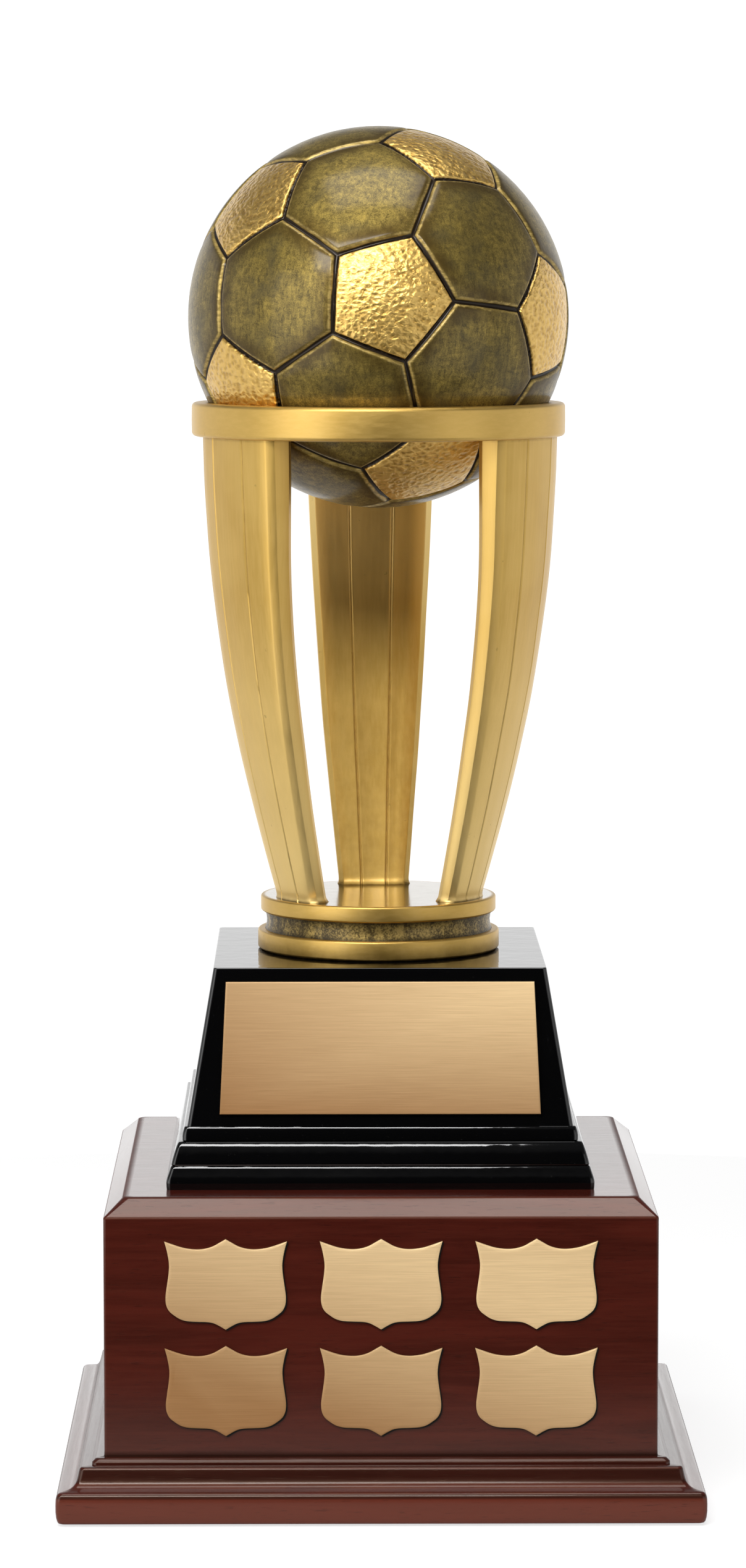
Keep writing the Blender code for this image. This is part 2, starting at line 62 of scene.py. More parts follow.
LEG_STATIONS = (               # height, outer radius, half width, inner radius
    (334.3, 58.0, 20.7, 45.1), (322.0, 57.6, 20.7, 45.0), (311.0, 57.0, 20.4, 44.9),
    (294.0, 55.8, 19.6, 44.4), (275.0, 53.6, 18.5, 42.8), (255.5, 50.7, 17.3, 40.3),
    (236.0, 46.8, 15.9, 36.9), (217.0, 42.3, 14.2, 33.2), (198.0, 37.3, 12.5, 29.0),
    (186.3, 34.0, 11.4, 26.2),
)
LEG_CHAMFER, LEG_GROOVE_OUT, LEG_GROOVE_IN = 2.1, 0.415, 0.35   # grooves: shares of half width
LEG_FOOT_TOP, LEG_FOOT_DEEP, LEG_FLARE = 188.6, 2.4, 0.45       # where a leg runs out into the disc
LEG_LIGHT_LOW, LEG_LIGHT_HIGH = (285.0, 85.0), (262.0, 50.0)    # painted light: paler from here, over so much
LEG_RINGS = 56
GROOVE = (                     # across, up, darkness
    (-1.1, 0.0, 0.0), (-0.72, 0.05, 0.0), (-0.46, 0.0, 0.0), (-0.13, -0.30, 0.5),
    (0.13, -0.30, 0.5), (0.46, 0.0, 0.0), (0.72, 0.05, 0.0), (1.1, 0.0, 0.0),
)
DISC_UPPER = (38.1, 180.8, 186.0)          # radius, bottom, top
COLLAR = (36.7, 175.0, 180.9)
DISC_LOWER = (39.1, 168.6, 175.0)
DISC_EDGE, DISC_MIDDLE = 0.7, 20.0         # edge rounding, and the radius of the middle caps
BODY_TOP_HALF, BODY_BOTTOM_HALF, BODY_BOTTOM, BODY_TOP = 52.6, 60.9, 119.1, 168.5
BODY_SLOPE = (BODY_BOTTOM_HALF - BODY_TOP_HALF) / (BODY_TOP - BODY_BOTTOM)
BODY_EDGE, BODY_CORNER, STEP_CORNER = 0.22, 1.3, 1.4   # rounding of the top edge, of corners
STEPS = (                      # node, half width, bottom, top, then (in, down) round the edge
    ("base_step_1", 62.4, 114.6, 119.3,
     ((0.85, 0.0), (0.75, 0.06), (0.60, 0.33), (0.52, 0.52), (0.38, 0.95), (0.14, 1.8),
      (0.0, 2.8), (0.0, 4.2), (0.4, 4.8))),
    ("base_step_2", 65.8, 107.3, 114.7,
     ((2.4, 0.0), (2.24, 0.09), (1.96, 0.55), (1.72, 1.02), (1.55, 1.45), (1.05, 2.9),
      (0.62, 4.3), (0.24, 5.7), (0.05, 6.5), (0.0, 6.8), (0.1, 7.1), (0.6, 7.4))),
    ("base_step_3", 67.4, 100.1, 107.4,
     ((1.7, 0.0), (1.58, 0.07), (1.38, 0.42), (1.28, 0.64), (1.16, 1.0), (0.74, 2.25),
      (0.34, 3.4), (0.08, 4.3), (0.0, 5.0), (0.02, 5.8), (0.06, 6.6), (0.14, 7.2))),
)
PLINTH_HALF, PLINTH_IN = 86.5, 74.5
PANEL_HEIGHTS = (1.8, 16.0, 18.0, 19.4, 21.2, 30.0, 60.0, 93.4)   # close where the painted shade ends
PANEL_CORNER, SKIRT_CORNER, LID_CORNER = 0.9, 1.6, 0.9
LID_HALF, LID_BOTTOM, LID_TOP, LID_CHAMFER = 86.5, 93.4, 100.1, 5.2
LID_EDGE = (                   # inset, height over the chamfer's foot, wear of the lacquer
    (0.0, -0.9, 0.0), (0.0, -0.62, 1.0), (0.06, -0.38, 1.0), (0.22, -0.14, 0.7),
    (0.5, 0.14, 0.0), (1.5, 1.05, 0.0), (2.8, 2.24, 0.0), (4.1, 3.43, 0.0),
    (5.55, 4.76, 0.0), (5.85, 4.98, 1.0), (6.2, 5.13, 1.0), (6.7, LID_CHAMFER, 0.8),
)
SKIRT = (                      # distance from the axis, height, from the bottom inner corner
    (86.6, 0.8), (99.9, 0.8), (100.35, 1.0), (100.7, 1.6), (101.0, 2.8), (101.18, 4.6),
    (101.2, 6.8), (101.12, 8.5), (101.0, 9.15), (100.85, 9.65), (100.6, 10.1), (100.25, 10.42),
    (99.7, 10.6), (98.6, 10.76), (97.4, 10.97), (96.5, 11.27), (95.85, 11.7), (95.36, 12.25),
    (94.98, 12.9), (94.72, 13.6), (94.5, 14.4), (94.3, 15.3), (94.12, 16.1), (94.0, 16.6),
    (93.8, 17.0), (93.5, 17.22), (93.0, 17.3), (90.25, 17.35), (90.2, 18.15), (90.05, 18.32),
    (89.9, 18.46), (89.5, 18.8), (89.1, 19.1), (88.8, 19.2), (88.3, 19.24), (86.6, 19.24),
)
# heights on the plinth's sides, for its painted shade and wear
STRIP_OVER_SKIRT, SLAB_EDGE, SLAB_FACE_TOP = (17.0, 20.0), (9.0, 10.2), 9.3
LOW_LEDGE, COVE, HIGH_LEDGE = (10.3, 11.4), (12.5, 16.7), (17.25, 17.45)
BEAD_FOOT, BEAD_TOP = 17.1, 19.15
# distances from the axis: the panel's face ends at the first, the skirt's slab begins at the others
PANEL_FACE, SLAB_FACE, SLAB_OUTSIDE = PLINTH_HALF + 0.05, 99.5, 100.5
SHIELD_OUTLINE = (             # one half, top middle to bottom middle; tips are sharp
    (0.0, 14.25), (1.9, 13.15), (4.0, 12.0), (6.3, 11.3), (8.7, 11.05), (11.4, 11.25),
    (14.2, 11.85), (19.1, 13.55), (18.3, 10.6), (17.65, 6.7), (17.8, 3.2), (18.4, -1.0),
    (18.75, -4.2), (18.5, -6.6), (17.6, -8.4), (16.1, -9.7), (14.2, -10.9),
    (12.0, -11.55), (9.0, -11.75), (6.0, -11.85), (4.0, -12.15), (2.3, -12.9),
    (0.0, -14.25),
)
SHIELD_TIPS = (0, 7, len(SHIELD_OUTLINE) - 1)
SHIELD_THICK = 1.3
SHIELD_LAYERS = (              # inset, distance from the panel
    (0.10, 0.05), (0.10, 0.45), (0.03, 0.48), (0.0, 0.53), (0.0, 1.0), (0.05, 1.1),
    (0.14, 1.16), (0.42, 1.22), (0.72, 1.27), (0.95, SHIELD_THICK), (1.2, SHIELD_THICK),
    (1.5, SHIELD_THICK),
)
SHADOW_BACKING_THICK, PAINTED_SHADOW_THICK = 0.47, 0.5      # the layers under these are slipped, and are dark: a painted drop shadow
SHADOW_BACKING_SLIP = Vector((0.52, -0.56))
SHIELD_COLUMNS = (("left", -48.4), ("middle", 0.0), ("right", 48.4))
SHIELD_ROWS = (("upper", 73.8), ("lower", 40.1))
PLATE_TOP_HALF, PLATE_BOTTOM_HALF, PLATE_BOTTOM, PLATE_TOP = 48.7, 50.6, 123.0, 164.2
PLATE_THICK = 1.4
PLATE_LAYERS = (               # inset, height over the black body
    (0, 0.05), (0, 1.1), (0.12, 1.33), (0.35, PLATE_THICK), (0.6, PLATE_THICK),
    (0.8, PLATE_THICK),
)
# painted light on the brass, paler to the upper right: at which height, its value there, its rise
# per mm across and per mm up
PLATE_PAINTED_LIGHT, SHIELD_PAINTED_LIGHT = (143.6, 0.25, 0.0085, 0.025), (57.0, 0.56, 0.0055, 0.0165)

# ---------------------------------------------------------------- studio, in metres and degrees

CAMERA_AT, CAMERA_DOWN, CAMERA_TURN = (-0.0183, -1.8066, 0.3994), 5.617, -0.525
LENS, SENSOR, CLIP_NEAR, CLIP_FAR = 128.54, 36.0, 0.1, 20.0     # lens and sensor in millimetres
LIGHTS = (                     # name, place, aim, (width, height), watts
    ("top", (0.0, -0.10, 1.55), (0, 0, 0.2), (0.95, 0.62), 7.8),
    ("front", (-0.34, -1.07, 1.17), (0, 0, 0.26), (1.1, 0.34), 15),
    ("right", (0.90, -0.80, 0.22), (0, 0, 0.22), (0.8, 1.0), 1.4),
    ("left", (-0.90, -0.80, 0.32), (0, 0, 0.30), (0.8, 1.2), 4.8),
)
FLOOR_R = 0.62
ROOM_SEEN, FLOOR_GLOW, FLOOR_GREY = 1.1, 0.72, 0.45             # what the camera sees


# ---------------------------------------------------------------- shader helpers

class Graph:
    """Short calls for making the nodes of one tree."""

    def __init__(self, tree):
        self.tree = tree

    def put(self, socket, value):
        if isinstance(value, bpy.types.NodeSocket):
            self.tree.links.new(value, socket)
        else:
            socket.default_value = value

    def node(self, kind, values, **settings):
        made = self.tree.nodes.new(kind)
        for key, value in settings.items():
            setattr(made, key, value)
        for key, value in values.items():
            self.put(made.inputs[key], value)
        return made

    def point(self, stretch=(1, 1, 1), shift=None):
        """Object coordinates in metres, stretched, and shifted by a mesh attribute."""
        place = self.node("ShaderNodeTexCoord", {}).outputs["Object"]
        if shift:
            extra = self.node("ShaderNodeAttribute", {}, attribute_name=shift)
            place = self.node("ShaderNodeVectorMath", {0: place, 1: extra.outputs["Vector"]},
                              operation="ADD").outputs[0]
        return self.node("ShaderNodeVectorMath", {0: place, 1: stretch},
                         operation="MULTIPLY").outputs[0]

    def noise(self, place, scale, detail=4.0, rough=0.55, warp=0.0):
        return self.node("ShaderNodeTexNoise", {
            "Vector": place, "Scale": scale, "Detail": detail, "Roughness": rough,
            "Distortion": warp}).outputs["Fac"]

    def cells(self, place, scale, feature="SMOOTH_F1", smooth=0.6):
        values = {"Vector": place, "Scale": scale}
        if feature == "SMOOTH_F1":
            values["Smoothness"] = smooth
        return self.node("ShaderNodeTexVoronoi", values, feature=feature).outputs["Distance"]

    def value(self, name):
        """A number stored at the points of the mesh."""
        return self.node("ShaderNodeAttribute", {}, attribute_name=name).outputs["Fac"]

    def span(self, value, low, high, to_low=0.0, to_high=1.0):
        """Smooth step of the value from one range to the other."""
        return self.node("ShaderNodeMapRange", {
            "Value": value, "From Min": low, "From Max": high, "To Min": to_low,
            "To Max": to_high}, interpolation_type="SMOOTHSTEP").outputs["Result"]

    def plus(self, a, b):
        return self.node("ShaderNodeMath", {0: a, 1: b}, operation="ADD").outputs[0]

    def minus(self, a, b):
        return self.node("ShaderNodeMath", {0: a, 1: b}, operation="SUBTRACT").outputs[0]

    def times(self, a, b):
        return self.node("ShaderNodeMath", {0: a, 1: b}, operation="MULTIPLY").outputs[0]

    def mix(self, share, a, b, blend="MIX"):
        return self.node("ShaderNodeMix", {0: share, 6: a, 7: b}, data_type="RGBA",
                         blend_type=blend).outputs[2]

    def bump(self, height, distance, strength=1.0, under=None):
        values = {"Height": height, "Distance": distance, "Strength": strength}
        if under:
            values["Normal"] = under
        return self.node("ShaderNodeBump", values).outputs["Normal"]

    def seen_as(self, other, seen, output):
        """Ends the tree: one shader for the camera, another for reflections and light."""
        camera_ray = self.node("ShaderNodeLightPath", {}).outputs["Is Camera Ray"]
        both = self.node("ShaderNodeMixShader", {0: camera_ray, 1: other.outputs[0],
                                                 2: seen.outputs[0]})
        self.node(output, {"Surface": both.outputs[0]})


class Shader(Graph):
    """A material with a Principled shader."""

    def __init__(self, name):
        self.mat = bpy.data.materials.new(name)
        self.mat.use_nodes = True
        super().__init__(self.mat.node_tree)
        self.bsdf = self.tree.nodes["Principled BSDF"]

    def finish(self, **values):
        """Sets the Principled shader's inputs, with _ for each space in their names."""
        for key, value in values.items():
            self.put(self.bsdf.inputs[key.replace("_", " ")], value)
        return self.mat


def rgb(r, g, b):
    return (r, g, b, 1.0)


# ---------------------------------------------------------------- materials

SEAM_BLACK = rgb(0.024, 0.015, 0.008)
WOOD_DARK = rgb(0.016, 0.003, 0.002)


def satin_gold(name, streak):
    """Gold metallised paint under lacquer: faint streaks, cloudy tone, painted light on parts,
    painted shade in corners.
    """
    s = Shader(name)
    polish_and_shade = s.value("polish_and_shade")
    cloud = s.noise(s.point(), 34.0, 3.0)
    line = s.noise(s.point(streak), 900.0, 5.0, 0.6)
    grain = s.noise(s.point(), 2400.0, 2.0)
    pits = s.span(s.noise(s.point(), 330.0, 2.0), 0.72, 0.82)
    tone = s.mix(s.span(cloud, 0.3, 0.7), rgb(0.63, 0.395, 0.093), rgb(0.72, 0.475, 0.130))
    tone = s.mix(s.span(line, 0.35, 0.70, 0.0, 0.20), tone, rgb(0.90, 0.63, 0.22))
    # painted light: the front legs lighter low down, the rear leg lighter near the ring
    tone = s.mix(s.value("painted_light"), tone, rgb(1.0, 0.75, 0.31))
    # painted shade from the cavity value: in grooves, at joints, low on the rear leg, inside the
    # ring's top, at disc edges, flecked by noise
    painted_shade = s.times(s.value("cavity"), s.span(s.noise(s.point(), 260.0, 3.0), 0.2, 0.8, 0.35, 1.0))
    tone = s.mix(painted_shade, tone, rgb(0.20, 0.105, 0.020))
    tone = s.mix(s.times(pits, 0.35), tone, rgb(0.25, 0.14, 0.03))
    # painted shade: the upper disc's glossy top given a dark bronze colour under its coat
    tone = s.mix(s.times(polish_and_shade, 0.9), tone, rgb(0.105, 0.078, 0.032))
    rough = s.span(s.plus(s.times(line, 0.6), s.times(cloud, 0.4)), 0.2, 0.8, 0.39, 0.49)
    rough = s.minus(rough, s.times(polish_and_shade, 0.30))
    normal = s.bump(s.plus(s.times(line, 0.3), s.times(grain, 0.7)), 0.00005, 0.45)
    normal = s.bump(s.minus(1.0, pits), 0.0001, 0.30, normal)
    return s.finish(Base_Color=tone, Metallic=1.0, Roughness=rough, Normal=normal,
                    Coat_Weight=s.plus(s.times(polish_and_shade, 0.25), 0.20), Coat_Roughness=0.14)


def ball_bronze():
    """Antique bronze six-sided panels: fine mottle, dark borders, lips rubbed to gold."""
    s = Shader("ball_bronze")
    strokes = s.noise(s.point((1.0, 1.0, 0.30), "shift"), 760.0, 6.0, 0.68, 0.6)
    cross = s.noise(s.point((0.35, 0.35, 1.0), "shift"), 700.0, 5.0, 0.65, 0.8)
    speck = s.noise(s.point(), 2800.0, 3.0, 0.6)
    cloud = s.noise(s.point((1, 1, 1), "shift"), 75.0, 4.0, 0.6, 0.5)
    mottle = s.plus(s.times(strokes, 0.40), s.times(cross, 0.25))
    mottle = s.plus(mottle, s.times(speck, 0.35))
    edge = s.value("edge")
    ragged = s.plus(edge, s.times(strokes, 1.6))
    tone = s.mix(s.span(mottle, 0.36, 0.66), rgb(0.092, 0.068, 0.020), rgb(0.39, 0.280, 0.064))
    tone = s.mix(s.span(cloud, 0.45, 0.72, 0.0, 0.65), tone, rgb(0.088, 0.072, 0.034))
    border = s.times(s.span(ragged, 2.8, 9.0, 1.0, 0.0), s.span(cloud, 0.30, 0.60, 0.25, 0.90))
    tone = s.mix(border, tone, rgb(0.085, 0.052, 0.010))
    lip = s.times(s.span(ragged, 1.9, 2.8, 1.0, 0.0), s.span(cross, 0.40, 0.60, 0.35, 0.85))
    tone = s.mix(lip, tone, rgb(0.66, 0.48, 0.150))
    tone = s.mix(s.span(edge, 0.60, 0.95, 1.0, 0.0), tone, SEAM_BLACK)
    rough = s.span(mottle, 0.35, 0.65, 0.62, 0.50)
    normal = s.bump(mottle, 0.00005, 0.5)
    return s.finish(Base_Color=tone, Metallic=0.85, Roughness=rough, Normal=normal,
                    Specular_IOR_Level=0.2, Coat_Weight=0.40, Coat_Roughness=0.17)


def ball_gold():
    """Bright gold five-sided panels with a hammered, rippled surface."""
    s = Shader("ball_gold")
    dimple = s.cells(s.point((1.0, 1.0, 1.25), "shift"), 520.0, smooth=0.35)
    ripple = s.noise(s.point((1.0, 1.0, 1.3), "shift"), 470.0, 2.0, 0.5, 0.5)
    fine = s.noise(s.point(), 1300.0, 3.0)
    height = s.plus(s.times(dimple, 0.7), s.times(ripple, 0.9))
    edge = s.value("edge")
    # painted shade in the hammering's hollows, lighter on its ridges
    tone = s.mix(s.span(height, 0.45, 0.95), rgb(0.61, 0.365, 0.083), rgb(0.90, 0.595, 0.170))
    tone = s.mix(s.span(fine, 0.5, 0.8, 0.0, 0.25), tone, rgb(0.66, 0.42, 0.115))
    tone = s.mix(s.span(edge, 0.58, 0.90, 1.0, 0.0), tone, SEAM_BLACK)
    normal = s.bump(height, 0.0007, 0.60)
    normal = s.bump(fine, 0.00003, 0.4, normal)
    s.put(s.bsdf.inputs["Coat Normal"], normal)
    return s.finish(Base_Color=tone, Metallic=1.0, Roughness=s.span(fine, 0.3, 0.7, 0.37, 0.47),
                    Normal=normal, Coat_Weight=0.36, Coat_Roughness=0.10)


def patina():
    """Dark collar with gold showing through in fine specks and upright smears."""
    s = Shader("collar_patina")
    speck = s.noise(s.point(), 1500.0, 5.0, 0.72)
    smear = s.noise(s.point((1, 1, 0.35)), 260.0, 5.0, 0.62, 0.4)
    share = s.plus(s.times(speck, 0.55), s.times(smear, 0.45))
    tone = s.mix(s.span(share, 0.42, 0.60), rgb(0.075, 0.052, 0.018), rgb(0.40, 0.28, 0.085))
    # painted shade from the cavity value at the collar's rims
    tone = s.mix(s.times(s.value("cavity"), 0.85), tone, rgb(0.020, 0.014, 0.006))
    return s.finish(Base_Color=tone, Metallic=0.9, Roughness=s.span(speck, 0.3, 0.7, 0.58, 0.42),
                    Normal=s.bump(share, 0.00015, 0.6), Coat_Weight=0.3, Coat_Roughness=0.15)


def lacquer():
    """Black piano lacquer, its surface very slightly uneven, with faint dust."""
    s = Shader("black_lacquer")
    wave = s.noise(s.point(), 95.0, 2.0)
    peel = s.noise(s.point(), 420.0, 2.0)
    dust = s.span(s.noise(s.point(), 1500.0, 1.0), 0.74, 0.80)
    tone = s.mix(s.times(dust, 0.04), rgb(0.0022, 0.0022, 0.0024), rgb(0.25, 0.24, 0.23))
    rough = s.span(s.noise(s.point(), 60.0, 3.0), 0.3, 0.7, 0.035, 0.075)
    normal = s.bump(wave, 0.0006, 0.20)
    normal = s.bump(peel, 0.00003, 0.35, normal)
    return s.finish(Base_Color=tone, Roughness=rough, Normal=normal, IOR=1.62)


def brushed_brass():
    """Brass sheet with fine level brush lines, with painted light making it paler to the upper
    right.
    """
    s = Shader("brushed_brass")
    fine = s.noise(s.point((0.009, 1.0, 1.0), "shift"), 7000.0, 3.0, 0.6)
    broad = s.noise(s.point((0.006, 1.0, 1.0), "shift"), 2000.0, 3.0, 0.6)
    deep = s.span(s.noise(s.point((0.012, 1.0, 1.0), "shift"), 3600.0, 2.0), 0.64, 0.74)
    line = s.plus(s.times(fine, 0.85), s.times(broad, 0.15))
    # painted light: the brass lighter to the upper right
    tone = s.mix(s.value("tone"), rgb(0.42, 0.218, 0.084), rgb(1.0, 0.725, 0.39))
    tone = s.mix(s.span(line, 0.36, 0.62), tone, rgb(0.89, 0.87, 0.845), "MULTIPLY")
    tone = s.mix(s.times(deep, 0.35), tone, rgb(0.72, 0.66, 0.58), "MULTIPLY")
    # painted shadow: the shields' slipped dark backing, near black
    tone = s.mix(s.value("cavity"), tone, rgb(0.006, 0.004, 0.003))
    normal = s.bump(line, 0.00004, 0.7)
    return s.finish(Base_Color=tone, Metallic=0.20, Roughness=s.span(line, 0.3, 0.7, 0.50, 0.42),
                    Specular_IOR_Level=0.3, Normal=normal)


def rosewood():
    """Dark red-brown veneer with lengthwise grain and pores under semi-gloss lacquer."""
    s = Shader("rosewood")
    bands = s.noise(s.point((0.11, 1.0, 1.0), "shift"), 105.0, 4.0, 0.6, 1.1)
    fibre = s.noise(s.point((0.045, 1.0, 1.0), "shift"), 1150.0, 5.0, 0.65, 0.3)
    pores = s.span(s.noise(s.point((0.09, 1.0, 1.0), "shift"), 2100.0, 2.0), 0.62, 0.72)
    tone = s.mix(s.span(bands, 0.32, 0.70), rgb(0.050, 0.0068, 0.0038), rgb(0.078, 0.0110, 0.0062))
    tone = s.mix(s.span(fibre, 0.35, 0.75, 0.0, 0.40), tone, rgb(0.095, 0.016, 0.0085))
    # painted reflection of the floor: the skirt's slab face lighter and redder
    tone = s.mix(s.times(s.value("tone"), 0.55), tone, rgb(0.175, 0.038, 0.022))
    # painted shade from the cavity value on the plinth's mouldings
    tone = s.mix(s.value("cavity"), tone, WOOD_DARK)
    tone = s.mix(s.times(pores, 0.35), tone, WOOD_DARK)
    normal = s.bump(fibre, 0.00003, 0.5)
    normal = s.bump(s.minus(1.0, pores), 0.00004, 0.3, normal)
    gloss = s.bump(s.noise(s.point(), 130.0, 2.0), 0.0002, 0.15)
    s.put(s.bsdf.inputs["Coat Normal"], gloss)
    worn = s.value("worn")
    rough = s.plus(s.span(fibre, 0.3, 0.7, 0.20, 0.26), s.times(worn, 0.28))
    coat = s.minus(0.58, s.times(worn, 0.56))
    return s.finish(Base_Color=tone, Roughness=rough, Specular_IOR_Level=0.38,
                    Specular_Tint=rgb(1.0, 0.62, 0.42), Normal=normal, Coat_Weight=coat,
                    Coat_Roughness=0.12, Coat_IOR=1.50)


def bare_board():
    """Unfinished board inside the plinth."""
    s = Shader("bare_board")
    fibre = s.noise(s.point((0.3, 1.0, 1.0)), 900.0, 6.0, 0.75, 0.5)
    fleck = s.noise(s.point(), 2600.0, 2.0)
    tone = s.mix(s.span(fibre, 0.3, 0.7), rgb(0.29, 0.17, 0.085), rgb(0.50, 0.33, 0.18))
    tone = s.mix(s.span(fleck, 0.6, 0.8, 0.0, 0.5), tone, rgb(0.18, 0.10, 0.05))
    return s.finish(Base_Color=tone, Roughness=0.75, Normal=s.bump(fibre, 0.0001, 0.5))


def felt():
    """Green felt of the foot pads."""
    s = Shader("felt")
    fuzz = s.noise(s.point(), 3200.0, 6.0, 0.8, 1.0)
    tone = s.mix(s.span(fuzz, 0.3, 0.7), rgb(0.010, 0.030, 0.017), rgb(0.035, 0.085, 0.050))
    return s.finish(Base_Color=tone, Roughness=0.95, Normal=s.bump(fuzz, 0.0003, 0.9),
                    Sheen_Weight=0.5, Sheen_Roughness=0.5)


def zinc():
    """Plated steel of the screws and the tie."""
    s = Shader("zinc_steel")
    turned = s.noise(s.point((1, 1, 6)), 900.0, 4.0)
    cloud = s.noise(s.point(), 240.0, 3.0)
    tone = s.mix(s.span(cloud, 0.3, 0.7), rgb(0.42, 0.42, 0.43), rgb(0.66, 0.66, 0.65))
    return s.finish(Base_Color=tone, Metallic=1.0, Roughness=s.span(turned, 0.3, 0.7, 0.28, 0.42),
                    Normal=s.bump(turned, 0.00003, 0.5))


def moulded_black():
    """Black plastic of the hoop inside the ball."""
    s = Shader("moulded_black")
    grain = s.noise(s.point(), 1800.0, 4.0)
    tone = s.mix(s.span(grain, 0.3, 0.7), rgb(0.018, 0.018, 0.019), rgb(0.035, 0.035, 0.036))
    return s.finish(Base_Color=tone, Roughness=0.55, Normal=s.bump(grain, 0.0001, 0.5))


# ---------------------------------------------------------------- mesh helpers

def clamp(value):
    return min(max(value, 0.0), 1.0)


def within(value, ends):
    return ends[0] < value < ends[1]


def new_object(name, data):
    obj = bpy.data.objects.new(name, data)
    bpy.context.scene.collection.objects.link(obj)
    return obj


def piece(name, points, faces, mat, nodes, smooth=30, spin=0.0, floats=None,
          shift=(0.0, 0.0, 0.0)):
    """A finished piece of the trophy, from points in millimetres, riding on the body.

    mat is one material or a list. floats are named numbers for each point. shift moves the
    material's noise, by one vector for all points or by three numbers for each.
    """
    mesh = bpy.data.meshes.new(name)
    mesh.from_pydata([Vector(p) * MM for p in points], [], faces)
    for label, values in (floats or {}).items():
        mesh.attributes.new(label, "FLOAT", "POINT").data.foreach_set("value", values)
    if len(shift) == 3:
        shift = list(shift) * len(points)
    mesh.attributes.new("shift", "FLOAT_VECTOR", "POINT").data.foreach_set("vector", shift)
    bm = bmesh.new()
    bm.from_mesh(mesh)
    bmesh.ops.remove_doubles(bm, verts=bm.verts, dist=2e-6)
    bmesh.ops.recalc_face_normals(bm, faces=bm.faces)
    wide = [f for f in bm.faces if len(f.verts) > 4]
    bmesh.ops.triangulate(bm, faces=wide, ngon_method="EAR_CLIP")
    bm.to_mesh(mesh)
    bm.free()
    mesh.shade_smooth()
    mesh.set_sharp_from_angle(angle=math.radians(smooth))
    obj = new_object(name, mesh)
    for one in mat if isinstance(mat, list) else [mat]:
        mesh.materials.append(one)
    obj.rotation_euler.z = math.radians(spin)
    bpy.context.view_layer.update()
    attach(obj, BODY)
    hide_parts(*nodes)
    return obj


def skin(rings, close=False):
    """Points and quads through rings of equal length; open ends are capped."""
    count, total = len(rings[0]), len(rings)
    faces = []
    for r in range(total if close else total - 1):
        a, b = r * count, ((r + 1) % total) * count
        faces += [(a + i, a + (i + 1) % count, b + (i + 1) % count, b + i) for i in range(count)]
    if not close:
        faces += [tuple(range(count)), tuple(range((total - 1) * count, total * count))]
    return [p for ring in rings for p in ring], faces


def smooth_path(points, steps, keep=()):
    """Catmull-Rom curve through points; the kept indices stay sharp corners."""
    out = []
    last = len(points) - 1
    for i in range(last):
        a, b = Vector(points[i]), Vector(points[i + 1])
        before = a + (a - b) if i == 0 or i in keep else Vector(points[i - 1])
        after = b + (b - a) if i + 1 == last or i + 1 in keep else Vector(points[i + 2])
        for k in range(steps):
            t = k / steps
            out.append(0.5 * ((2 * a) + (b - before) * t
                              + (2 * before - 5 * a + 4 * b - after) * t * t
                              + (3 * a - before - 3 * b + after) * t ** 3))
    out.append(Vector(points[-1]))
    return out


def rounded_square(half, z, radius, steps=6):
    """Ring of a square with rounded corners, level at a height."""
    ring = []
    for corner, (sx, sy) in enumerate(((1, 1), (-1, 1), (-1, -1), (1, -1))):
        for k in range(steps + 1):
            a = math.radians(90 * corner + 90 * k / steps)
            ring.append((sx * (half - radius) + radius * math.cos(a),
                         sy * (half - radius) + radius * math.sin(a), z))
    return ring


def corner_arc(centre, radius, start, end, steps):
    """Points of an arc as (across, up), angles in degrees."""
    return [(centre[0] + radius * math.cos(math.radians(start + (end - start) * k / steps)),
             centre[1] + radius * math.sin(math.radians(start + (end - start) * k / steps)))
            for k in range(steps + 1)]


# ---------------------------------------------------------------- ball

def ball_panels():
    """Corner directions of the 12 five-sided and 20 six-sided panels."""
    phi = (1 + math.sqrt(5)) / 2
    tips = []
    for a in (-1, 1):
        for b in (-phi, phi):
            tips += [Vector((0, a, b)), Vector((b, 0, a)), Vector((a, b, 0))]
    near = [[j for j in range(12) if j != i and (tips[i] - tips[j]).length < 2.1]
            for i in range(12)]

    def third(i, j):
        return (2 * tips[i] + tips[j]).normalized()

    panels = []
    for i in range(12):
        axis = tips[i].normalized()
        side = axis.orthogonal().normalized()
        other = axis.cross(side)
        around = sorted(near[i], key=lambda j: math.atan2(tips[j].dot(other), tips[j].dot(side)))
        panels.append([third(i, j) for j in around])
    for i in range(12):
        for j in near[i]:
            for k in near[i]:
                if i < j < k and k in near[j]:
                    panels.append([third(i, j), third(j, i), third(j, k),
                                   third(k, j), third(k, i), third(i, k)])
    return panels


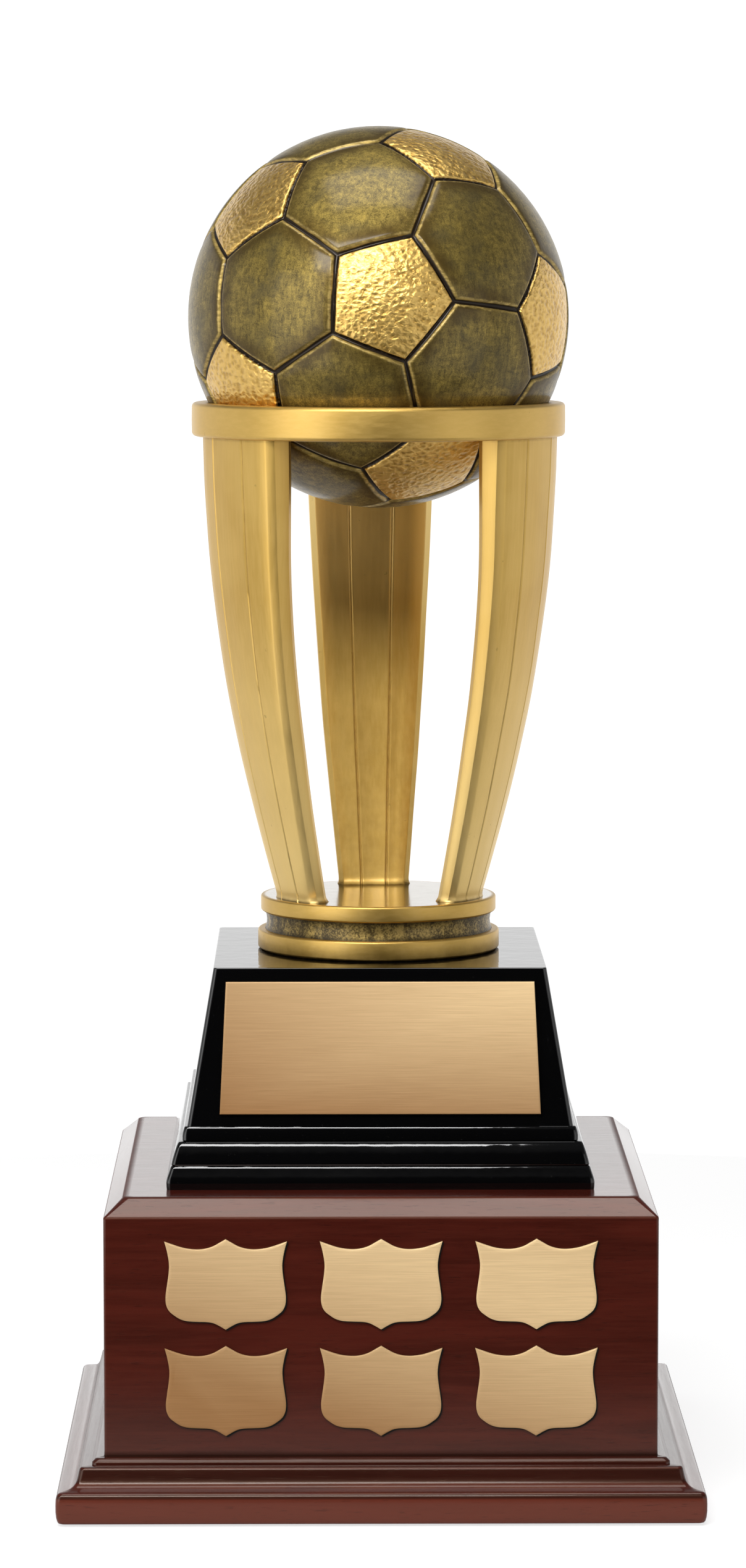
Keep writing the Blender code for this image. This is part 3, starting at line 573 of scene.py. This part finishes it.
def build_ball(bronze, gold):
    """Domed panels with rounded lips and black V-shaped seams, one closed skin.

    The edge value is the distance from the seam in millimetres.
    """
    turn = Euler([math.radians(a) for a in BALL_TURN], "XYZ").to_matrix()
    centre = Vector((0, 0, BALL_Z))
    points, faces, kinds, edges, shifts = [], [], [], [], []
    steps = 12
    for number, corners in enumerate(ball_panels()):
        five = len(corners) == 5
        middle = sum(corners, Vector()) / len(corners)
        apothem = BALL_R * ((corners[0] + corners[1]) / 2 - middle).length
        outline = []
        for i, a in enumerate(corners):
            b = corners[(i + 1) % len(corners)]
            outline += [a.lerp(b, k / steps) for k in range(steps)]
        start, count = len(points), len(outline)
        jitter = [7.3 * number % 3.1 * 0.01, 3.7 * number % 2.3 * 0.01, 5.9 * number % 1.7 * 0.01]
        profile = LIP_GOLD if five else LIP_BRONZE
        for distance, depth in profile:
            share = min(distance / apothem, PANEL_SHARE)
            for d in outline:
                here = turn @ d.lerp(middle, share).normalized()
                sway = noise.noise(here * 9.0) * LIP_SWAY if 0.4 < distance < 3.5 else 0.0
                points.append(centre + (BALL_R + depth + sway * 0.5) * here)
                edges.append(distance + sway * 2)
                shifts += jitter
        points.append(centre + (BALL_R + profile[-1][1]) * (turn @ middle.normalized()))
        edges.append(20.0)
        shifts += jitter
        for r in range(len(profile) - 1):
            a, b = start + r * count, start + (r + 1) * count
            for i in range(count):
                j = (i + 1) % count
                faces.append((a + i, a + j, b + j, b + i))
        last, tip = start + (len(profile) - 1) * count, len(points) - 1
        faces += [(last + i, last + (i + 1) % count, tip) for i in range(count)]
        kinds += [five] * (len(faces) - len(kinds))
    obj = piece("ball", points, faces, [bronze, gold], ("ball_shell_upper", "ball_shell_lower"),
                smooth=60, floats={"edge": edges}, shift=shifts)
    for polygon, five in zip(obj.data.polygons, kinds):
        polygon.material_index = int(five)
    return obj


# ---------------------------------------------------------------- ring, legs and foot

def lathe(name, profile, mat, nodes, segments=144, smooth=40, sway=0.0, dark=None,
          polish_and_shade=None, solid=False):
    """A turned ring or solid disc from a (radius, height) outline, very slightly uneven.

    dark and polish_and_shade give each point's cavity (painted shade) and its gloss with painted
    shade, from its radius and height.
    """
    rings, cavity, polish_and_shade_values = [], [], []
    for r, z in profile:
        ring = []
        for k in range(segments):
            a = 2 * math.pi * k / segments
            way = Vector((math.cos(a), math.sin(a), 0))
            bulge = sway * noise.noise(way * 2.2 + Vector((0, 0, z * 0.05)))
            ring.append(way * (r + bulge) + Vector((0, 0, z)))
            cavity.append(dark(r, z) if dark else 0.0)
            polish_and_shade_values.append(polish_and_shade(r, z) if polish_and_shade else 0.0)
        rings.append(ring)
    points, faces = skin(rings, close=not solid)
    return piece(name, points, faces, mat, nodes, smooth,
                 floats={"cavity": cavity, "polish_and_shade": polish_and_shade_values})


def build_ring(mat):
    """Ring with rounded edges, its inner face shaped to the ball and darkest at the top with
    painted shade.
    """
    seat = BALL_R + 0.1
    low, high, e = RING_BOTTOM, RING_TOP, RING_ROUND
    seat_heights = [low + (high - 0.5 - low) * k / 8 for k in range(9)]
    profile = [(math.sqrt(seat ** 2 - (BALL_Z - z) ** 2), z) for z in seat_heights]
    rim = profile[-1][0]
    profile += [(rim + 0.35, high - 0.12), (rim + 0.9, high)]
    profile += corner_arc((RING_R - e, high - e), e, 90, 0, 8)
    profile += [(RING_R + 0.05, (low + high) / 2)]
    profile += corner_arc((RING_R - e, low + e), e, 0, -90, 8)
    lathe("support_ring_cast", profile, mat, ("support_ring",), segments=176,
          smooth=50, sway=0.12,
          # painted shade at the top of the inner face, where the ball sits
          dark=lambda r, z: 0.55 if r < rim + 0.3 and z > high - 1.5 else 0.0)


def leg_values(z):
    """Outer radius, half width and inner radius of a leg at a height, on a smooth curve."""
    rows = LEG_STATIONS
    for i in range(len(rows) - 1):
        if rows[i][0] >= z >= rows[i + 1][0]:
            break
    before, a = rows[max(i - 1, 0)], rows[i]
    b, after = rows[i + 1], rows[min(i + 2, len(rows) - 1)]
    span = b[0] - a[0]
    t = (z - a[0]) / span
    out = []
    for k in (1, 2, 3):
        slope_a = (b[k] - before[k]) / (b[0] - before[0]) * span
        slope_b = (after[k] - a[k]) / (after[0] - a[0]) * span
        out.append(a[k] * (2 * t ** 3 - 3 * t ** 2 + 1) + slope_a * (t ** 3 - 2 * t ** 2 + t)
                   + b[k] * (3 * t ** 2 - 2 * t ** 3) + slope_b * (t ** 3 - t ** 2))
    return out


def leg_section(radius, half, inner, flare):
    """Outline of a leg as (sideways, outward, darkness): arc outside, flat inside, grooves."""
    scale = 0.55 + 0.45 * half / LEG_STATIONS[0][2]
    out_at, in_at = LEG_GROOVE_OUT * half, LEG_GROOVE_IN * half
    chamfer = LEG_CHAMFER * scale
    line = [(-half, -1.25 * chamfer, 0.0), (-half + 0.12, -0.80 * chamfer, 0.0),
            (-half + 0.82 * chamfer, -0.10 * chamfer, 0.0), (-half + chamfer + 0.25, 0.0, 0.0)]
    inside = half - chamfer - 0.25 - out_at
    line += [(-out_at - inside * k, 0.0, 0.0) for k in (0.66, 0.33)]
    line += [(-out_at + x * scale, y * scale, c) for x, y, c in GROOVE]
    line += [(-0.14 * half, 0.0, 0.0)]
    line += [(-t, drop, c) for t, drop, c in reversed(line)]
    ring = [(t, math.sqrt(max(radius ** 2 - t ** 2, 1.0)) + drop, c) for t, drop, c in line]
    back = [(half, inner + 1.35 * chamfer, 0.0), (half - 0.12, inner + 1.00 * chamfer, 0.0),
            (half - chamfer + 0.2, inner + 0.15, 0.0), (half - chamfer - 0.3, inner, 0.0),
            (in_at + (half - chamfer - in_at) * 0.5, inner, 0.0)]
    back += [(in_at - x * scale, inner - y * scale, c) for x, y, c in GROOVE]
    ring += back + [(0.0, inner, 0.0)] + [(-t, rho, c) for t, rho, c in reversed(back)]
    if flare:
        mid = (radius + inner) / 2
        ring = [(t * (1 + flare / half), mid + (rho - mid) * (1 + 2 * flare / (radius - inner)), c)
                for t, rho, c in ring]
    return ring


def build_legs(mat):
    """Three cast legs with painted light: the front ones lighter low down, the rear one lighter
    only near the ring and given painted shade low down.
    """
    joint = RING_BOTTOM - 0.9
    heights = [RING_BOTTOM + 0.2, RING_BOTTOM - 0.35, joint]
    heights += [joint - (joint - LEG_FOOT_TOP) * k / LEG_RINGS for k in range(1, LEG_RINGS + 1)]
    heights += [LEG_FOOT_TOP - down for down in (0.7, 1.3, 1.75, 2.1, 2.4, 2.7)]
    for name, angle in (("leg_rear", 90), ("leg_left", 210), ("leg_right", 330)):
        rings, dark, painted_light = [], [], []
        for z in heights:
            radius, half, inner = leg_values(min(max(z, LEG_STATIONS[-1][0]), LEG_STATIONS[0][0]))
            foot = max(0.0, LEG_FOOT_TOP - z) / LEG_FOOT_DEEP
            # painted shade where the leg meets the ring and at its foot
            joint_painted_shade = max(0.65 * clamp(1 - abs(z - RING_BOTTOM)), 0.55 * foot ** 4)
            low_down = clamp((LEG_LIGHT_LOW[0] - z) / LEG_LIGHT_LOW[1])
            near_ring = clamp((z - LEG_LIGHT_HIGH[0]) / LEG_LIGHT_HIGH[1])
            rear = name == "leg_rear"
            # painted shade on the rear leg low down; painted light on the front legs low down and
            # on the rear leg near the ring
            shade, light = (0.25 * low_down, 0.75 * near_ring) if rear else (0.0, 0.65 * low_down)
            ring = []
            for t, rho, c in leg_section(radius, half, inner, LEG_FLARE * foot ** 3):
                sway = 0.10 * noise.noise(Vector((t * 0.12, rho * 0.12, z * 0.04 + angle)))
                ring.append((rho + sway, t + sway, z))
                dark.append(max(0.8 * c, joint_painted_shade, shade))
                painted_light.append(light)
            rings.append(ring)
        points, faces = skin(rings)
        piece(name + "_cast", points, faces, mat, (name,), smooth=28,
              spin=angle + TOWER_TURN, floats={"cavity": dark, "painted_light": painted_light},
              shift=(0.1 * angle, 0.0, 0.0))


def build_foot(gold, collar):
    """Two gold discs with undercut lower edges, and the dark waisted collar between them."""
    def disc(size, low_edge, undercut):
        radius, low, high = size
        outline = [(DISC_MIDDLE, low), (radius - low_edge - 3, low), (radius - low_edge, low),
                   (radius - 0.35 * low_edge, low + 0.5 * undercut),
                   (radius - 0.08 * low_edge, low + 0.85 * undercut),
                   (radius, low + 1.2 * undercut)]
        outline += corner_arc((radius - DISC_EDGE, high - DISC_EDGE), DISC_EDGE, 0, 90, 5)
        return outline + [(radius - DISC_EDGE - 1, high), (DISC_MIDDLE, high)]

    # painted shade: the lower disc darkest at its bottom edge and darker towards the bottom
    def base_painted_shade(r, z):
        radius, low, high = DISC_LOWER
        return 1.0 if z < low + 0.6 else 0.50 * (high - z) / (high - low)

    # gloss and painted shade on the upper disc's top
    def top_polish_and_shade(r, z):
        return 1.0 if z > DISC_UPPER[2] - 0.05 and r < DISC_UPPER[0] - 0.8 else 0.0

    lathe("foot_disc_upper", disc(DISC_UPPER, 0.7, 0.6), gold, ("foot_upper_disc",),
          sway=0.10, polish_and_shade=top_polish_and_shade, solid=True)
    lathe("foot_disc_lower", disc(DISC_LOWER, 0.9, 0.75), gold, ("foot_lower_disc",),
          sway=0.14, dark=base_painted_shade, solid=True)
    radius, low, high = COLLAR
    outline = [(DISC_MIDDLE, low), (radius - 1, low), (radius + 0.15, low),
               (radius - 0.35, low + 1.4), (radius - 0.5, (low + high) / 2),
               (radius - 0.3, high - 1.4), (radius, high), (radius - 1, high), (DISC_MIDDLE, high)]
    lathe("foot_collar_cast", outline, collar, ("foot_collar",), smooth=30,
          sway=0.12, solid=True,
          # painted shade on the collar's rims, where it meets the discs
          dark=lambda r, z: 1.0 if r > 30 and (z > high - 0.5 or z < low + 0.5) else 0.0)


# ---------------------------------------------------------------- black base

def build_black_base(mat):
    """Tapered body with a nearly sharp top edge, on three moulded steps."""
    face_top = BODY_TOP - BODY_EDGE
    rings = [rounded_square(20, BODY_BOTTOM, 1.0),
             rounded_square(BODY_BOTTOM_HALF, BODY_BOTTOM, BODY_CORNER)]
    for k in range(1, 8):
        z = BODY_BOTTOM + (face_top - BODY_BOTTOM) * k / 7
        rings.append(rounded_square(BODY_BOTTOM_HALF - BODY_SLOPE * (z - BODY_BOTTOM), z,
                                    BODY_CORNER))
    half = BODY_TOP_HALF + BODY_SLOPE * BODY_EDGE
    for angle in (20, 40, 60, 80, 90):
        s, c = math.sin(math.radians(angle)), math.cos(math.radians(angle))
        rings.append(rounded_square(half - BODY_EDGE * (1 - c) - 0.15 * s,
                                    face_top + BODY_EDGE * s, BODY_CORNER))
    # a ring close inside the edge keeps the flat top's shading flat
    rings += [rounded_square(inner, BODY_TOP, BODY_CORNER) for inner in (BODY_TOP_HALF - 1.0, 30)]
    points, faces = skin(rings)
    piece("base_body_lacquered", points, faces, mat, ("base_body",), smooth=24)
    for node, half, low, high, edge in STEPS:
        rings = [rounded_square(half - 10, high, STEP_CORNER)]
        for i, (a, b) in enumerate(zip(edge, edge[1:])):
            parts = 1 if i in (0, len(edge) - 2) else 2
            rings += [rounded_square(half - a[0] + (a[0] - b[0]) * k / parts,
                                     high - a[1] - (b[1] - a[1]) * k / parts, STEP_CORNER)
                      for k in range(parts)]
        rings += [rounded_square(half - edge[-1][0], low, STEP_CORNER),
                  rounded_square(30, low, 1.0)]
        points, faces = skin(rings)
        piece(node + "_lacquered", points, faces, mat, (node,), smooth=26)


def brass_painted_light(points, level, tone, across, up):
    """Painted light on the brass at each point: lighter to the right and towards the top."""
    return [clamp(tone + across * p[0] + up * (p[2] - level)) for p in points]


def build_name_plate(mat):
    """Thin brass plate on the sloping front, with a narrow bevelled edge."""
    normal = Vector((0, -1, BODY_SLOPE)).normalized()
    rings = []
    for inset, lift in PLATE_LAYERS:
        ring = []
        for half, z, sign in ((PLATE_BOTTOM_HALF, PLATE_BOTTOM + inset, 1),
                              (PLATE_TOP_HALF, PLATE_TOP - inset, -1)):
            y = -(BODY_TOP_HALF + 0.1 + BODY_SLOPE * (BODY_TOP - z))
            ring += [Vector((sign * x, y, z)) + normal * lift
                     for x in (inset - half, half - inset)]
        rings.append(ring)
    points, faces = skin(rings)
    piece("name_plate_brass", points, faces, mat, ("name_plate",), smooth=20,
          shift=(0.3, 0.0, 0.7), floats={"tone": brass_painted_light(points, *PLATE_PAINTED_LIGHT)})


# ---------------------------------------------------------------- plinth

def side_sweep(profile, radius, steps=5):
    """Rings of one side of a square moulding, its corners rounded up to the mitre planes."""
    rings = []
    for r, z in profile:
        arc = min(radius, r - 1)
        c = r - arc
        left = [(-c + arc * math.cos(math.radians(a)), -c + arc * math.sin(math.radians(a)), z)
                for a in [225 + 45 * k / steps for k in range(steps + 1)]]
        right = [(-x, y, h) for x, y, h in reversed(left)]
        rings.append(left + right)
    return rings


def painted_shade_depth(out, up):
    """Painted shade on the slab's upper edge, in the cove, on the bead and above the skirt."""
    if out < PANEL_FACE:
        return 1.0 if within(up, STRIP_OVER_SKIRT) else 0.0
    if out > SLAB_OUTSIDE:
        return 0.8 if within(up, SLAB_EDGE) else 0.0
    if within(up, COVE):
        return 0.75
    return 0.5 if up > BEAD_FOOT else 0.0


def wear_amount(out, up):
    """How dull the lacquer is: most just above the skirt, not at all on ledge, bead and panel."""
    if out < PANEL_FACE:
        return 1.0 if within(up, STRIP_OVER_SKIRT) else 0.0
    if within(up, LOW_LEDGE) or within(up, HIGH_LEDGE) or up > BEAD_TOP:
        return 0.0
    return 0.35


def build_sides(stem, profile, radius, mat, node, smooth):
    """The four mitred sides of one outline, each with its own stretch of the grain."""
    rings = side_sweep(profile, radius)
    count = len(rings[0])
    points = [p for ring in rings for p in ring]
    faces = []
    for r in range(len(rings)):
        a, b = r * count, ((r + 1) % len(rings)) * count
        faces += [(a + i, a + i + 1, b + i + 1, b + i) for i in range(count - 1)]
    faces.append(tuple(r * count for r in range(len(rings))))
    faces.append(tuple(r * count + count - 1 for r in reversed(range(len(rings)))))
    # tone marks the slab face for its painted reflection of the floor
    looks = {"tone": [float(-p[1] > SLAB_FACE and p[2] < SLAB_FACE_TOP) for p in points],
             "cavity": [painted_shade_depth(-p[1], p[2]) for p in points],
             "worn": [wear_amount(-p[1], p[2]) for p in points]}
    for number, side in enumerate(("front", "right", "back", "left")):
        piece("%s_%s" % (stem, side), points, faces, mat, ("%s_%s" % (node, side),),
              smooth=smooth, spin=90 * number, floats=looks,
              shift=(0.37 * number, 0.21 * number, 0.13))


def build_plinth(mat):
    """Veneered panels, moulded skirt, and a lid whose chamfer has dull, worn edges."""
    panel = [(PLINTH_IN, PANEL_HEIGHTS[0])] + [(PLINTH_HALF, z) for z in PANEL_HEIGHTS]
    panel.append((PLINTH_IN, PANEL_HEIGHTS[-1]))
    build_sides("plinth_veneer", panel, PANEL_CORNER, mat, "plinth_panel", 25)
    build_sides("skirt_moulding", SKIRT, SKIRT_CORNER, mat, "skirt", 50)
    rings = [rounded_square(half, LID_BOTTOM, LID_CORNER) for half in (30, LID_HALF)]
    rings += [rounded_square(LID_HALF - inset, LID_TOP - LID_CHAMFER + lift,
                             LID_CORNER + 0.3 * min(inset, 5.0)) for inset, lift, wear in LID_EDGE]
    rings += [rounded_square(half, LID_TOP, 2.4) for half in (LID_HALF - 8.0, 40)]
    wear_of_ring = [0.0, 0.0] + [wear for inset, lift, wear in LID_EDGE] + [0.0, 0.0]
    points, faces = skin(rings)
    piece("plinth_lid_veneer", points, faces, mat, ("plinth_lid",), smooth=22,
          shift=(0.9, 0.4, 0.2), floats={"worn": [w for w in wear_of_ring for p in rings[0]]})


def shield_ring(line, inset):
    """The outline drawn in by a set distance, each point moving straight at the middle."""
    ring, count = [], len(line)
    for i, here in enumerate(line):
        along = (line[(i + 1) % count] - line[i - 1]).normalized()
        inward = -here.normalized()
        square = abs(along.x * inward.y - along.y * inward.x)
        ring.append(here + inward * (inset / max(square, 0.45)))
    return ring


def build_shields(mat):
    """Six blank shields, each with a thin dark backing slipped to its lower right as a painted drop
    shadow.
    """
    half = smooth_path([Vector(p) for p in SHIELD_OUTLINE], 4, SHIELD_TIPS)
    line = half + [Vector((-p.x, p.y)) for p in reversed(half[1:-1])]
    dark = [float(depth < PAINTED_SHADOW_THICK) for inset, depth in SHIELD_LAYERS for p in line]
    places = [(row, column, x, z) for row, z in SHIELD_ROWS for column, x in SHIELD_COLUMNS]
    for number, (row, column, across, height) in enumerate(places):
        rings = []
        for inset, depth in SHIELD_LAYERS:
            slip = SHADOW_BACKING_SLIP if depth < SHADOW_BACKING_THICK else Vector((0.0, 0.0))
            rings.append([(across + p.x + slip.x, -PLINTH_HALF - depth, height + p.y + slip.y)
                          for p in shield_ring(line, inset)])
        points, faces = skin(rings)
        node = "shield_%s_%s" % (row, column)
        piece(node + "_brass", points, faces, mat, (node,), smooth=24,
              shift=(0.0, 0.0, 0.31 * number),
              floats={"tone": brass_painted_light(points, *SHIELD_PAINTED_LIGHT), "cavity": dark})


# ---------------------------------------------------------------- hidden CAD pieces

def dress(node, mat, bevel=0.0):
    """Gives a CAD node its finished material and a small edge rounding."""
    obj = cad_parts[node]
    if not obj.material_slots:
        obj.data.materials.append(mat)
    for slot in obj.material_slots:
        slot.material = mat
    if bevel:
        mod = obj.modifiers.new("edge", "BEVEL")
        mod.width, mod.segments = bevel * MM, 2
        mod.limit_method, mod.angle_limit = "ANGLE", math.radians(40)


def dress_hidden():
    """Materials for the fixings, boards, pads and hoop that keep their CAD meshes."""
    steel, board, pad, black = zinc(), bare_board(), felt(), moulded_black()
    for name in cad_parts:
        if name.startswith(("lid_screw", "floor_screw", "tie_")):
            dress(name, steel, 0.15)
        elif name.startswith("corner_block") or name == "plinth_floor_board":
            dress(name, board, 0.3)
        elif name.startswith("foot_pad"):
            dress(name, pad, 0.25)
        elif name == "ball_locating_hoop":
            dress(name, black, 0.2)


# ---------------------------------------------------------------- studio

def room_light():
    """White to the camera. Round the object: brightest behind, dim above, and one black strip.

    The strip is narrow, low and straight in front, where the upright gloss faces mirror it.
    """
    world = bpy.data.worlds.new("studio")
    bpy.context.scene.world = world
    world.use_nodes = True
    world.node_tree.nodes.clear()
    g = Graph(world.node_tree)
    way = g.node("ShaderNodeSeparateXYZ", {
        0: g.node("ShaderNodeTexCoord", {}).outputs["Generated"]}).outputs
    round_about = g.plus(g.span(way["Y"], -0.5, 0.3, 0.40, 0.85),
                         g.span(way["Y"], 0.75, 0.93, 0.0, 0.38))
    above = g.span(way["Z"], 0.17, 0.52, 1.0, 0.16)
    narrow = g.span(g.times(way["X"], way["X"]), 0.03, 0.10, 1.0, 0.0)
    in_front = g.span(way["Y"], -0.7, -0.2, 1.0, 0.0)
    low = g.span(way["Z"], 0.44, 0.53, 1.0, 0.0)
    strip = g.times(narrow, g.times(in_front, low))
    strength = g.times(g.times(round_about, above), g.minus(1.0, strip))
    room = g.node("ShaderNodeBackground", {"Color": rgb(1, 1, 1), "Strength": strength})
    seen = g.node("ShaderNodeBackground", {"Color": rgb(1, 1, 1), "Strength": ROOM_SEEN})
    g.seen_as(room, seen, "ShaderNodeOutputWorld")


def soft_light(name, place, aim, size, power):
    """A rectangular lamp pointing at a place."""
    data = bpy.data.lights.new(name, "AREA")
    data.shape, data.size, data.size_y = "RECTANGLE", size[0], size[1]
    data.energy = power
    obj = new_object(name, data)
    obj.location = place
    obj.rotation_euler = (Vector(aim) - Vector(place)).to_track_quat("-Z", "Y").to_euler()


def floor():
    """A round white floor; in reflections its front part is dark, like a cloth laid there."""
    mesh = bpy.data.meshes.new("floor")
    bm = bmesh.new()
    bmesh.ops.create_circle(bm, cap_ends=True, segments=96, radius=FLOOR_R)
    bm.to_mesh(mesh)
    bm.free()
    obj = new_object("floor", mesh)
    mat = bpy.data.materials.new("floor_paper")
    mat.use_nodes = True
    mat.node_tree.nodes.clear()
    g = Graph(mat.node_tree)
    place = g.node("ShaderNodeTexCoord", {}).outputs["Object"]
    back = g.node("ShaderNodeSeparateXYZ", {0: place}).outputs["Y"]
    shade = g.plus(g.span(back, -0.33, -0.12, 0.04, 0.75), g.span(back, -0.12, 0.0, 0.0, 0.17))
    shade = g.times(shade, g.span(g.noise(place, 400.0, 3.0), 0.2, 0.8, 0.96, 1.0))
    dull = g.node("ShaderNodeBsdfDiffuse", {"Color": shade})
    grey = rgb(FLOOR_GREY, FLOOR_GREY, FLOOR_GREY)
    paper = g.node("ShaderNodeBsdfDiffuse", {"Color": grey})
    glow = g.node("ShaderNodeEmission", {"Color": rgb(1, 1, 1), "Strength": FLOOR_GLOW})
    bright = g.node("ShaderNodeAddShader", {0: paper.outputs[0], 1: glow.outputs[0]})
    g.seen_as(dull, bright, "ShaderNodeOutputMaterial")
    mesh.materials.append(mat)


def studio():
    room_light()
    floor()
    for light in LIGHTS:
        soft_light(*light)


def camera():
    """The camera that was fitted to the photograph."""
    data = bpy.data.cameras.new("camera")
    data.sensor_fit, data.sensor_height, data.sensor_width = "VERTICAL", SENSOR, SENSOR
    data.lens = LENS
    data.clip_start, data.clip_end = CLIP_NEAR, CLIP_FAR
    obj = new_object("camera", data)
    obj.location = CAMERA_AT
    obj.rotation_euler = (math.radians(90 - CAMERA_DOWN), 0.0, math.radians(CAMERA_TURN))
    bpy.context.scene.camera = obj


bpy.context.scene.view_settings.view_transform = "Standard"
camera()
studio()
gold_upright = satin_gold("satin_gold_legs", (1.0, 1.0, 0.04))
gold_round = satin_gold("satin_gold_ring", (0.25, 0.25, 1.0))
brass = brushed_brass()
build_ball(ball_bronze(), ball_gold())
build_ring(gold_round)
build_legs(gold_upright)
build_foot(gold_round, patina())
build_black_base(lacquer())
build_name_plate(brass)
build_plinth(rosewood())
build_shields(brass)
dress_hidden()
